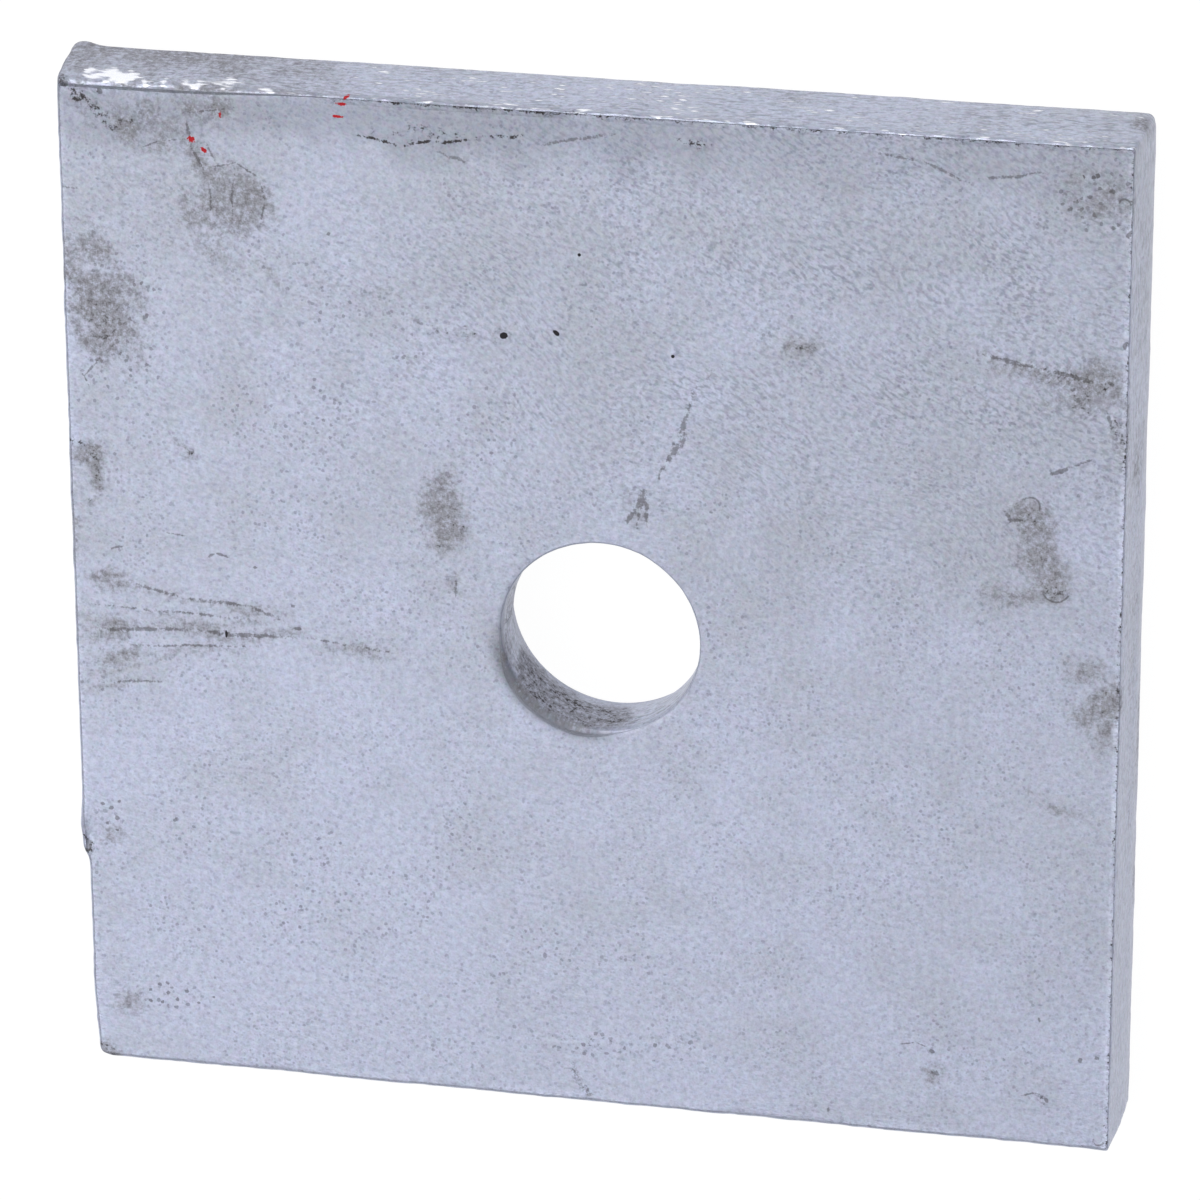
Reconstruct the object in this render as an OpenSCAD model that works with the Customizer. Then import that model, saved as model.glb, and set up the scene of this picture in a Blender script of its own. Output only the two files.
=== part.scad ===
// Square plate washer: one flat steel plate with a bolt hole, blanked and punched from the same
// side, then hot-dip galvanised. It lies on its back face, with the face that the punch met upwards.
// Millimetres. X runs across the plate and Y up it, Z is the bolt's direction. The origin is at the
// middle of the back face.

/* [Plate] */
// Width across the widest part of the edges
plate_w = 76.2; // [50:0.1:152.4]
// Height across the widest part of the edges
plate_h = 76.2; // [50:0.1:152.4]
// Thickness
plate_t = 6.35; // [4:0.05:12.7]

/* [Bolt hole] */
// Diameter of the straight land in the hole
hole_d = 14.3; // [8:0.1:28]
// Place of the hole to the right of the middle
hole_x = 0.8; // [-4:0.1:4]
// Place of the hole above the middle
hole_y = -1.1; // [-4:0.1:4]
// Radius of the edge that the punch drew in at the front
hole_roll = 0.4; // [0.1:0.05:0.8]
// How far the break-out is wider than the land at the back, each side
hole_breakout = 0.55; // [0.1:0.05:1]
// Height of the break-out above the back face
hole_breakout_h = 2.6; // [1:0.1:3]

/* [Blanked edges] */
// How far the left edge leans in towards the front
lean_left = 0.4; // [0:0.05:1]
// How far the right edge leans in towards the front
lean_right = 0.6; // [0:0.05:1]
// How far the top edge leans in towards the front
lean_top = 0.5; // [0:0.05:1]
// How far the bottom edge leans in towards the front
lean_bottom = 0.3; // [0:0.05:1]
// Height of the straight band above the back face, below the leaning part
band_h = 2; // [1:0.1:2.4]
// Radius that the die drew along the back edges
back_roll = 0.35; // [0.1:0.05:0.8]

/* [Front arris] */
// Radius of the left front arris
arris_left = 0.3; // [0.1:0.05:0.8]
// Radius of the right front arris, the sharpest
arris_right = 0.15; // [0.1:0.05:0.8]
// Radius of the top front arris, heavy with zinc
arris_top = 0.5; // [0.1:0.05:0.8]
// Radius of the bottom front arris
arris_bottom = 0.45; // [0.1:0.05:0.8]

/* [Corners] */
// Corner radius, top left
corner_top_left = 0.4; // [0.2:0.1:4]
// Corner radius, top right
corner_top_right = 0.9; // [0.2:0.1:4]
// Corner radius, bottom right
corner_bottom_right = 0.4; // [0.2:0.1:4]
// Corner radius, bottom left, worn round
corner_bottom_left = 2.4; // [0.2:0.1:4]

/* [Set-back of the left edge] */
// Depth of the set-back
step_depth = 0.45; // [0.1:0.05:1]
// Height of the top of the set-back above the bottom edge
step_h = 16.8; // [8:0.1:24]
// Length of the slope between the two stretches of the edge
step_run = 1.9; // [0.5:0.1:4]
// Radius of the scoop torn out of the front arris at the top of the set-back
tear_r = 0.9; // [0.3:0.1:2]
// Depth of that scoop
tear_depth = 0.25; // [0.1:0.05:0.3]

/* [Hidden] */
$fn = 96;
// How far a cut runs past the faces that it crosses
overrun = 1;
// A length that reaches past the plate's far side in any direction
reach_across = plate_w + plate_h;
half_w = plate_w / 2;
half_h = plate_h / 2;
// Where the set-back starts along the left edge
step_top = -half_h + step_h;

// The plate's section at one edge, which stands at reach. From the back face up it has the die's
// roll, a straight band, the lean where the steel broke, and the front arris.
module edge_section(reach, lean, arris) {
    slope = atan(lean / (plate_t - band_h));
    arris_centre = [reach - lean - arris * (1 - sin(slope)) / cos(slope), plate_t - arris];
    polygon([
        [-reach_across, 0],
        [reach - back_roll, 0],
        [reach, back_roll],
        [reach, band_h],
        arris_centre + arris * [cos(slope), sin(slope)],
        [arris_centre[0], plate_t],
        [-reach_across, plate_t]
    ]);
    translate([reach - back_roll, back_roll]) circle(r = back_roll);
    translate(arris_centre) circle(r = arris);
}

// All that one edge leaves of an endless plate: its section swept along it. facing is the way that
// the edge looks, in degrees from X.
module edge_blank(facing, reach, lean, arris) {
    rotate([0, 0, facing])
        rotate([90, 0, 0])
            linear_extrude(height = 2 * reach_across, center = true)
                edge_section(reach, lean, arris);
}

// The left edge: a long upper stretch, a short slope inwards, and the set-back lower stretch
module left_edge() {
    turn = atan(step_depth / step_run);
    slope_reach = half_w * cos(turn) - step_top * sin(turn);
    intersection() {
        edge_blank(180, half_w, lean_left, arris_left);
        union() {
            edge_blank(180 + turn, slope_reach, lean_left, arris_left);
            edge_blank(180, half_w - step_depth, lean_left, arris_left);
        }
    }
}

// What rounding takes off a square corner. at is the corner's point.
module corner_cut(at, radius) {
    translate([at[0], at[1], -overrun])
        mirror([at[0] < 0 ? 1 : 0, 0, 0])
            mirror([0, at[1] < 0 ? 1 : 0, 0])
                linear_extrude(height = plate_t + 2 * overrun)
                    difference() {
                        translate([-radius, -radius]) square(radius + overrun);
                        translate([-radius, -radius]) circle(r = radius);
                    }
}

// The punched hole as a cut: the break-out at the back, the straight land, and the drawn-in front
module punched_hole() {
    land_r = hole_d / 2;
    back_r = land_r + hole_breakout;
    front_r = land_r + hole_roll;
    translate([hole_x, hole_y, 0])
        rotate_extrude()
            difference() {
                polygon([
                    [0, -overrun],
                    [back_r, -overrun],
                    [back_r, 0],
                    [land_r, hole_breakout_h],
                    [land_r, plate_t - hole_roll],
                    [front_r, plate_t - hole_roll],
                    [front_r, plate_t + overrun],
                    [0, plate_t + overrun]
                ]);
                translate([front_r, plate_t - hole_roll]) circle(r = hole_roll);
            }
}

// The scoop torn out of the front arris where the set-back starts
module tear() {
    translate([-half_w + lean_left + tear_depth - tear_r, step_top, plate_t]) sphere(r = tear_r);
}

module square_plate() {
    color([0.73, 0.75, 0.81])
        difference() {
            intersection() {
                edge_blank(0, half_w, lean_right, arris_right);
                edge_blank(90, half_h, lean_top, arris_top);
                edge_blank(270, half_h, lean_bottom, arris_bottom);
                left_edge();
            }
            corner_cut([-half_w, half_h], corner_top_left);
            corner_cut([half_w, half_h], corner_top_right);
            corner_cut([half_w, -half_h], corner_bottom_right);
            corner_cut([-half_w + step_depth, -half_h], corner_bottom_left);
            punched_hole();
            tear();
        }
}

square_plate();
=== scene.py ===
import math

import bpy
import numpy as np
from mathutils import Matrix


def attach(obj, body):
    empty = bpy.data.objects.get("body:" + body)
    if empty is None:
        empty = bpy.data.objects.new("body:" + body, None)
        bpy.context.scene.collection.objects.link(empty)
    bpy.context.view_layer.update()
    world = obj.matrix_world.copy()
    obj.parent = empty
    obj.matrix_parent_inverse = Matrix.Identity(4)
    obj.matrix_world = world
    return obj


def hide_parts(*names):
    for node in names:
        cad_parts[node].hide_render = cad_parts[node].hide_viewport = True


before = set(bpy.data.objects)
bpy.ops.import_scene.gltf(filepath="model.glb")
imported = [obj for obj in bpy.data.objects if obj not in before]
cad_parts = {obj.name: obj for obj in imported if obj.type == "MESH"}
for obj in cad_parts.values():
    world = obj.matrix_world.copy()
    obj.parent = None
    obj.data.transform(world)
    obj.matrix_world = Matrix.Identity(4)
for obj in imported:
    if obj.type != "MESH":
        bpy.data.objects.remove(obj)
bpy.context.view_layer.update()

# The washer: one square of mild steel plate, blanked and punched from the same side and then dipped in
# molten zinc. The blanking rolled the edges in at the back, cut a straight band and broke the rest inwards,
# and the punch did the same down the hole from the front. The zinc then flowed over every arris.
mm = 0.001
plate_w = 76.2
plate_h = 76.2
plate_t = 6.35
half_w = plate_w / 2
half_h = plate_h / 2
band_h = 2.0
back_roll = 0.35
lean_right, lean_top, lean_left = 0.6, 0.5, 0.4
lean_bottom_left_end, lean_bottom_right_end = 0.28, 0.06
arris_right, arris_left, arris_bottom = 0.15, 0.3, 0.45
arris_top_worn, arris_top_plain = 0.85, 0.3
worn_from, worn_to = -19.0, -31.0
corner_top_right, corner_top_left, corner_bottom_left, corner_bottom_right = 0.9, 0.4, 3.2, 1.1
step_depth, step_top, step_run = 0.42, -21.3, 1.2
foot_depth, foot_top = 0.25, -33.0
skew_right = 0.12
hole_r = 7.15
hole_x, hole_y = 0.68, -1.21
hole_breakout, hole_breakout_h = 0.55, 2.6
drawn_least, drawn_most, drawn_side = 0.12, 0.68, 236.0

# Grid lines: round the plate, and down each stretch of the section that is carried round it.
grid_around = 1160
grid_land, grid_drawn, grid_face, grid_arris, grid_lean = 4, 5, 52, 7, 8
grid_band, grid_roll, grid_back, grid_breakout = 2, 3, 3, 2


def ease(low, high, value):
    """Smoothstep: 0 at low, 1 at high, and 3t^2 - 2t^3 between, where t is the share of the way."""
    t = np.clip((value - low) / (high - low), 0.0, 1.0)
    return t * t * (3.0 - 2.0 * t)


def bell(value, middle, width):
    """A soft bump: e to minus the square of the distance from the middle, in widths."""
    return np.exp(-(((value - middle) / width) ** 2))


def lumps(x, y, z, size, seed):
    """Smooth noise from -1 to 1 in lumps of the given size in mm: seeded random values on a lattice, blended
    along each axis by the smoothstep of the place between two lattice planes."""
    lattice = np.random.default_rng(seed).uniform(-1.0, 1.0, (32, 32, 32))
    place = np.stack([x, y, z]) / np.reshape(size, (3,) + (1,) * x.ndim)
    low = np.floor(place).astype(int)
    share = place - low
    share = share * share * (3.0 - 2.0 * share)
    total = np.zeros(x.shape)
    for corner in range(8):
        step = np.array([corner & 1, corner >> 1 & 1, corner >> 2 & 1]).reshape((3,) + (1,) * x.ndim)
        weight = np.prod(np.where(step == 1, share, 1.0 - share), axis=0)
        index = (low + step) % 32
        total += weight * lattice[index[0], index[1], index[2]]
    return total


def crowd(share):
    """Shares from 0 to 1, moved closer together towards both ends: t - 0.5 sin(2 pi t) / 2 pi."""
    return share - 0.5 * np.sin(2 * np.pi * share) / (2 * np.pi)


# Directions from the plate's middle, closer together towards the corners. The points of the four sides
# follow each other anticlockwise.
lap = np.arange(grid_around) * 4.0 / grid_around
side_of = np.floor(lap).astype(int)
along = 2.0 * crowd(lap - side_of) - 1.0
square_x = np.choose(side_of, [half_w, -half_w * along, -half_w, half_w * along])
square_y = np.choose(side_of, [half_h * along, half_h, -half_h * along, -half_h])
reach = np.hypot(square_x, square_y)
dir_x, dir_y = square_x / reach, square_y / reach

# Lean and arris of the right, top, left and bottom side in each direction. The top arris is worn round
# towards the left, and the bottom edge stands straighter towards the right.
same = np.ones(grid_around)
to_right = square_x / plate_w + 0.5
lean_bottom = lean_bottom_left_end + (lean_bottom_right_end - lean_bottom_left_end) * to_right
arris_top = arris_top_plain + (arris_top_worn - arris_top_plain) * ease(worn_from, worn_to, square_x)
lean = np.stack([same * lean_right, same * lean_top, same * lean_left, lean_bottom])[:, None, :]
arris = np.stack([same * arris_right, arris_top, same * arris_left, same * arris_bottom])[:, None, :]

# The cut edge's section, from the back face up: a quarter circle of the die's roll, the straight band, the
# lean line, and a circle tangent to the lean line and the front face. Inset is measured inwards from the
# widest outline.
lean_angle = np.arctan2(lean, plate_t - band_h)
tangent = arris * np.tan((np.pi / 2 - lean_angle) / 2)
flat = 0.0 * lean
roll_turn = np.linspace(0.0, np.pi / 2, grid_roll).reshape(1, -1, 1)
roll_inset = back_roll * (1.0 - np.sin(roll_turn)) + flat
roll_z = back_roll * (1.0 - np.cos(roll_turn)) + flat
band_share = np.linspace(0.0, 1.0, grid_band + 2)[1:-1].reshape(1, -1, 1)
band_inset = 0.0 * band_share + flat
band_z = back_roll + (band_h - back_roll) * band_share + flat
arris_turn = lean_angle + (np.pi / 2 - lean_angle) * np.linspace(0.0, 1.0, grid_arris).reshape(1, -1, 1)
arris_inset = lean + tangent - arris * np.cos(arris_turn)
arris_z = plate_t - arris * (1.0 - np.sin(arris_turn))
lean_share = np.linspace(0.0, 1.0, grid_lean + 1)[:-1].reshape(1, -1, 1)
lean_inset = arris_inset[:, :1, :] * lean_share
lean_z = band_h + (arris_z[:, :1, :] - band_h) * lean_share
inset = np.concatenate([roll_inset, band_inset, lean_inset, arris_inset], axis=1)
level = np.concatenate([roll_z, band_z, lean_z, arris_z], axis=1)

# Where a line from the middle meets each side: the side's distance, less its inset, over the direction's
# share towards that side. The left side is set back below the step and curls in at its foot, and the
# right side runs out a little towards the bottom. The nearest side counts.
towards = np.stack([dir_x, dir_y, -dir_x, -dir_y])[:, None, :]
distance = np.array([half_w, half_h, half_w, half_h]).reshape(4, 1, 1) - inset
distance[0] += skew_right * (0.6 - square_y / plate_h)
distance[2] -= step_depth * ease(step_top, step_top - step_run, square_y)
distance[2] -= foot_depth * ease(foot_top, -half_h, square_y)
side_reach = np.where(towards > 0.2, distance / np.maximum(towards, 0.2), 1000.0)
edge_reach = side_reach.min(axis=0)

# Each corner is an arc of the widest outline: the far meeting of the line with the corner's circle.
for corner_r, sign_x, sign_y in (
    (corner_top_right, 1, 1),
    (corner_top_left, -1, 1),
    (corner_bottom_left, -1, -1),
    (corner_bottom_right, 1, -1),
):
    centre_x = sign_x * (half_w - corner_r)
    centre_y = sign_y * (half_h - corner_r)
    inward = dir_x * centre_x + dir_y * centre_y
    under_root = inward**2 - centre_x**2 - centre_y**2 + corner_r**2
    arc = inward + np.sqrt(np.maximum(under_root, 0.0))
    beyond = (sign_x * (edge_reach * dir_x - centre_x) > 0) & (sign_y * (edge_reach * dir_y - centre_y) > 0)
    edge_reach = np.where(beyond & (under_root > 0) & (arc < edge_reach), arc, edge_reach)

# Zinc rounds the corners a little more: a short running mean round the plate. Each level is the sides'
# own, weighed by how near each side's line is.
for _ in range(3):
    edge_reach = (np.roll(edge_reach, 1, axis=1) + 2 * edge_reach + np.roll(edge_reach, -1, axis=1)) / 4
nearness = np.exp((side_reach.min(axis=0) - side_reach) / 0.5)
edge_z = (nearness * level).sum(axis=0) / nearness.sum(axis=0)
edge_x, edge_y = edge_reach * dir_x, edge_reach * dir_y

# The hole's section, from the back up: the break-out's cone, the straight land, and a quarter circle where
# the punch drew the front in, wide at the lower left and sharp at the upper right.
hole_turn = np.arctan2(edge_y[-1] - hole_y, edge_x[-1] - hole_x)
drawn_in = drawn_least + drawn_most * bell(np.cos(hole_turn - math.radians(drawn_side)), 1.0, 0.22)
cone_share = np.linspace(0.0, 1.0, grid_breakout + 1)[:-1, None]
cone_r = hole_r + hole_breakout * (1.0 - cone_share) + 0.0 * hole_turn
cone_z = hole_breakout_h * cone_share + 0.0 * hole_turn
land_share = np.linspace(0.0, 1.0, grid_land + 1)[:-1, None]
land_r = hole_r + 0.0 * land_share * hole_turn
land_z = hole_breakout_h + (plate_t - drawn_in - hole_breakout_h) * land_share
drawn_turn = np.linspace(0.0, np.pi / 2, grid_drawn)[:, None]
drawn_r = hole_r + drawn_in * (1.0 - np.cos(drawn_turn))
drawn_z = plate_t - drawn_in * (1.0 - np.sin(drawn_turn))
wall_r = np.concatenate([cone_r, land_r, drawn_r])
wall_z = np.concatenate([cone_z, land_z, drawn_z])
wall_x = hole_x + wall_r * np.cos(hole_turn)
wall_y = hole_y + wall_r * np.sin(hole_turn)

# The two faces join the hole's rim to the edge by straight lines, with more grid lines near both ends.
face_share = crowd(np.linspace(0.0, 1.0, grid_face + 2)[1:-1, None])
face_x = wall_x[-1] + (edge_x[-1] - wall_x[-1]) * face_share
face_y = wall_y[-1] + (edge_y[-1] - wall_y[-1]) * face_share
face_z = wall_z[-1] + (edge_z[-1] - wall_z[-1]) * face_share
back_share = np.linspace(0.0, 1.0, grid_back + 2)[1:-1, None]
back_x = edge_x[0] + (wall_x[0] - edge_x[0]) * back_share
back_y = edge_y[0] + (wall_y[0] - edge_y[0]) * back_share
back_z = edge_z[0] + (wall_z[0] - edge_z[0]) * back_share

# The closed section, carried round: hole wall up, front face out, edge down, back face in. Each zone is
# told from the grid row, and fades over a few rows into the next.
x = np.concatenate([wall_x, face_x, edge_x[::-1], back_x])
y = np.concatenate([wall_y, face_y, edge_y[::-1], back_y])
z = np.concatenate([wall_z, face_z, edge_z[::-1], back_z])
row = np.arange(len(x))[:, None]
rows_wall = len(wall_x)
edge_start = rows_wall + grid_face
edge_end = edge_start + len(edge_x)
on_edge = ease(edge_start - 2, edge_start + 3, row) * ease(edge_end, edge_end - grid_roll, row)
on_arris = bell(row, edge_start + (grid_arris - 1) / 2, grid_arris * 0.45)
on_lip = bell(row, rows_wall - 3, 2.0)
on_wall = ease(rows_wall, rows_wall - 3, row) * ease(0, 3, row)
on_face = ease(rows_wall - 2, rows_wall + 3, row) * ease(edge_start + 3, edge_start - 2, row)

# Relief in mm, along the surface's own normal: long soft swells of the zinc on the front face, runs along
# the cut edges, a hammered front arris, rings and a thicker collar of zinc on the hole's wall, and the
# single knocks and lumps.
swell = 0.045 * lumps(x, y, z, (13, 9, 9), 11) + 0.015 * lumps(x, y, z, (4, 4, 4), 12)
runs = 0.04 * lumps(x, y, z, (5, 5, 1.1), 21) + 0.03 * lumps(x, y, z, (1.6, 1.6, 0.7), 22)
runs = runs + 0.018 * lumps(x, y, z, (0.6, 0.6, 0.5), 23)
hammered = 0.03 * lumps(x, y, z, (1.3, 1.3, 1.3), 31) + 0.025 * lumps(x, y, z, (0.6, 0.6, 0.6), 32)
rings = 0.03 * lumps(2.0 * hole_turn + 0.0 * z, 0.0 * z + 3.0, z, (1.0, 1.0, 0.45), 41)
relief = on_face * swell + on_edge * runs + (on_arris + on_lip) * hammered + on_wall * rings
nick = -0.14 * bell(x, -1.0, 0.9) * bell(y, 37.6, 0.8) * bell(z, 6.3, 0.5)
hump = 0.3 * bell(x, -37.3, 0.9) * bell(y, 38.1, 1.0) * bell(z, 0.4, 0.9)
knob = 0.26 * bell(x, -37.8, 0.5) * bell(y, -19.6, 1.6) * bell(z, 4.6, 2.2)
torn = -0.3 * bell(x, -37.35, 0.35) * bell(y, -20.3, 0.8) * bell(z, 6.35, 0.7)
collar = 0.14 * on_wall * bell(z, 3.6, 1.5)
relief = relief + nick + hump + knob + torn + collar
shell = np.stack([x, y, z])
outwards = np.cross(
    np.roll(shell, -1, axis=1) - np.roll(shell, 1, axis=1),
    np.roll(shell, -1, axis=2) - np.roll(shell, 1, axis=2),
    axis=0,
)
outwards = outwards / np.linalg.norm(outwards, axis=0)
points = (shell + outwards * relief) * mm
points[2] = np.maximum(points[2], 0.0)

# Wear and dirt, listed in mm on the front face. A mark is an ellipse: its middle, its half sizes,
# its turn in degrees and its strength. The mesh carries the soft ones, bent by a slow wander of the place.
on_front = ease(5.6, 6.2, z)
wander = np.stack(
    [
        0.5 * lumps(x, y, z, (2.6, 2.6, 9), 51) + 0.35 * lumps(x, y, z, (1.1, 1.1, 9), 52),
        0.5 * lumps(x, y, z, (2.6, 2.6, 9), 53) + 0.35 * lumps(x, y, z, (1.1, 1.1, 9), 54),
    ]
)


def soft(marks, bend=1.0):
    """The sum of some marks, at most 1: each is its strength times 1 - d^2, where d is the distance from
    its middle in half sizes, after the wander times the bend."""
    total = np.zeros(x.shape)
    for middle_x, middle_y, half_x, half_y, turn, strength in marks:
        cos_turn, sin_turn = math.cos(math.radians(turn)), math.sin(math.radians(turn))
        off_x, off_y = x + bend * wander[0] - middle_x, y + bend * wander[1] - middle_y
        u = (off_x * cos_turn + off_y * sin_turn) / half_x
        v = (off_y * cos_turn - off_x * sin_turn) / half_y
        total += strength * np.maximum(0.0, 1.0 - u**2 - v**2)
    return on_front * np.minimum(total, 1.0)


def line(points, half_width, strength):
    """A scratch through some points: a long thin mark between each two of them."""
    marks = []
    for (x_start, y_start), (x_end, y_end) in zip(points, points[1:]):
        run, rise = x_end - x_start, y_end - y_start
        half_length = 0.6 * math.hypot(run, rise) + half_width
        turn = math.degrees(math.atan2(rise, run))
        marks.append(((x_start + x_end) / 2, (y_start + y_end) / 2, half_length, half_width, turn, strength))
    return marks


stains = [
    (-29.0, 29.0, 14.0, 12.0, 0, 0.11),
    (-25.8, 29.1, 3.5, 3.8, 0, 1.0),
    (-27.3, 32.7, 0.9, 2.3, 25, 0.8),
    (-27.4, 35.2, 2.4, 1.2, 0, 0.5),
    (-34.3, 20.4, 3.4, 5.2, 10, 0.9),
    (-36.6, 24.6, 2.2, 3.2, 0, 0.5),
    (-36.4, 9.6, 1.5, 1.3, 0, 0.9),
    (-35.7, 7.9, 0.9, 1.7, 15, 0.9),
    (-36.3, 6.2, 0.6, 0.6, 0, 0.7),
    (-29.0, 10.6, 0.8, 0.9, 0, 0.9),
    (-37.4, 2.0, 1.0, 8.0, 0, 0.35),
    (-35.0, 0.0, 2.2, 1.1, -12, 0.55),
    (-34.9, -3.6, 2.6, 1.2, 0, 0.65),
    (-34.8, -5.6, 2.0, 0.7, 0, 0.6),
    (-10.2, 6.9, 2.6, 3.0, 0, 1.0),
    (-10.6, 9.6, 1.1, 1.8, 0, 0.6),
    (-9.6, 1.9, 0.5, 1.3, 0, 0.6),
    (31.3, 9.7, 2.4, 1.8, -20, 0.9),
    (31.6, 7.5, 1.6, 2.2, 0, 0.7),
    (32.6, 5.9, 2.0, 2.0, 0, 0.9),
    (29.8, 4.4, 2.8, 1.2, 10, 0.6),
    (35.6, 20.2, 2.9, 3.0, 0, 0.65),
    (31.5, 21.3, 5.2, 0.8, -11, 0.8),
    (33.2, 18.6, 2.6, 1.6, -40, 0.5),
    (37.3, 17.0, 1.1, 3.4, 0, 0.55),
    (36.6, -3.2, 1.9, 3.4, -30, 0.9),
    (35.0, -0.6, 1.6, 0.9, 0, 0.6),
    (36.9, -6.2, 1.3, 1.8, 0, 0.6),
    (35.2, 34.0, 3.2, 2.8, -20, 0.5),
    (14.9, 21.3, 1.8, 0.5, 3, 0.9),
    (33.5, -11.0, 3.8, 0.8, -15, 0.5),
    (-35.4, -19.6, 1.6, 1.2, 0, 0.4),
    (-34.8, -33.4, 2.3, 1.4, -20, 0.5),
    (-36.1, -37.2, 1.1, 0.6, -30, 1.0),
    (24.6, -33.2, 1.1, 0.5, 0, 0.6),
    (3.2, 8.2, 1.3, 1.8, 0, 0.5),
    (-8.5, 20.9, 5.0, 0.5, 0, 0.35),
    (-34.8, 35.8, 3.4, 1.6, -25, 0.35),
    (-31.4, 34.8, 3.4, 2.6, -42, 0.4),
    (-27.6, 36.4, 3.0, 1.1, -4, 0.35),
    *line([(-33.5, -3.3), (-22.0, -3.2), (-14.7, -3.4)], 0.75, 0.5),
    *line([(-22.0, -1.8), (-28.0, -0.9), (-34.0, 0.3)], 0.6, 0.5),
    *line([(-22.0, -2.5), (-37.0, -1.9)], 0.5, 0.35),
    *line([(-24.0, -4.0), (-37.0, -6.0)], 0.7, 0.35),
    *line([(-31.0, -6.6), (-37.5, -6.7)], 0.4, 0.5),
    *line([(-31.0, -7.5), (-37.5, -8.0)], 0.4, 0.5),
    *line([(-30.6, 26.2), (-18.4, 23.4), (-12.7, 23.1)], 0.4, 0.35),
]
pitted_areas = [
    (1.5, -33.2, 11.0, 1.8, 0, 0.8),
    (-35.4, -18.6, 1.8, 1.6, 0, 1.2),
    (-30.6, -18.1, 1.6, 1.2, 0, 0.7),
    (-31.6, -32.3, 3.2, 1.4, 10, 0.9),
    (-34.3, 20.9, 4.2, 5.5, 0, 0.6),
    (35.4, 34.0, 3.6, 3.6, 0, 0.8),
    (35.6, 19.4, 3.0, 3.6, 0, 0.7),
    (-20.0, 16.0, 20.0, 12.0, 0, 0.25),
    (-14.0, -25.0, 24.0, 12.0, 0, 0.22),
]
scratches = [
    *line([(9.7, 20.1), (8.2, 18.4), (7.1, 16.4)], 0.2, 0.6),
    *line([(7.2, 16.6), (6.4, 14.5), (5.7, 12.6)], 0.3, 1.0),
    *line([(5.8, 12.8), (4.6, 11.0)], 0.2, 0.7),
    *line([(3.9, 10.0), (3.1, 8.4), (2.3, 7.3)], 0.26, 1.0),
    *line([(3.7, 9.4), (3.3, 7.2)], 0.18, 0.8),
    *line([(3.8, 9.6), (4.1, 7.2)], 0.24, 1.0),
    *line([(-1.6, -34.9), (0.4, -37.1)], 0.3, 0.7),
]
crusts = [
    (-37.3, 37.3, 0.6, 0.5, 0, 0.9),
    (-36.3, 36.6, 0.9, 0.6, 0, 0.6),
    (-35.4, 35.9, 1.5, 0.8, -30, 0.7),
    (-33.9, 34.9, 1.3, 0.9, -30, 0.6),
    (-32.7, 35.4, 0.6, 0.6, 0, 0.6),
    (-34.6, 36.9, 0.3, 0.3, 0, 0.8),
    (-34.3, 19.6, 2.2, 2.8, 10, 0.45),
    (-37.2, 10.4, 0.8, 0.5, 0, 0.7),
    (-36.2, 9.5, 0.8, 0.7, 0, 0.7),
    (-35.6, 8.0, 0.5, 1.1, 10, 0.7),
    (-36.3, 6.4, 0.4, 0.4, 0, 0.7),
    (-29.0, 10.5, 0.6, 0.6, 0, 0.8),
    (-9.6, 6.7, 1.3, 1.0, 0, 0.5),
    (-11.3, 5.4, 0.9, 0.6, -40, 0.4),
    (-8.5, 20.9, 5.0, 0.45, 0, 0.4),
    (31.0, 9.8, 0.8, 0.7, 0, 0.65),
    (30.0, 10.7, 0.5, 0.4, 0, 0.6),
    (32.9, 5.5, 1.2, 0.9, 0, 0.6),
    (32.4, 6.9, 1.1, 0.5, -20, 0.5),
    (34.6, 19.6, 1.0, 0.7, -20, 0.55),
    (36.4, 20.4, 0.8, 0.7, 0, 0.6),
    (37.2, 17.0, 0.5, 1.4, 10, 0.7),
    (34.9, 18.2, 0.9, 0.6, -20, 0.5),
    (36.8, -2.4, 0.7, 1.6, -20, 0.5),
    (14.9, 21.3, 1.4, 0.35, 3, 0.5),
    (33.0, -34.2, 0.8, 0.35, -25, 0.8),
    (-36.2, -37.2, 1.0, 0.5, -30, 0.9),
    (-37.5, -20.7, 0.5, 1.0, 0, 1.0),
    (-0.4, -33.3, 6.0, 0.8, 0, 0.35),
    (-11.0, 35.5, 5.5, 0.9, 3, 0.5),
    (-24.0, 35.9, 4.0, 0.6, -4, 0.35),
    *line([(6.0, 35.8), (7.9, 35.7)], 0.4, 0.8),
    *line([(31.0, 21.6), (35.4, 20.4)], 0.45, 0.6),
]

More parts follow.
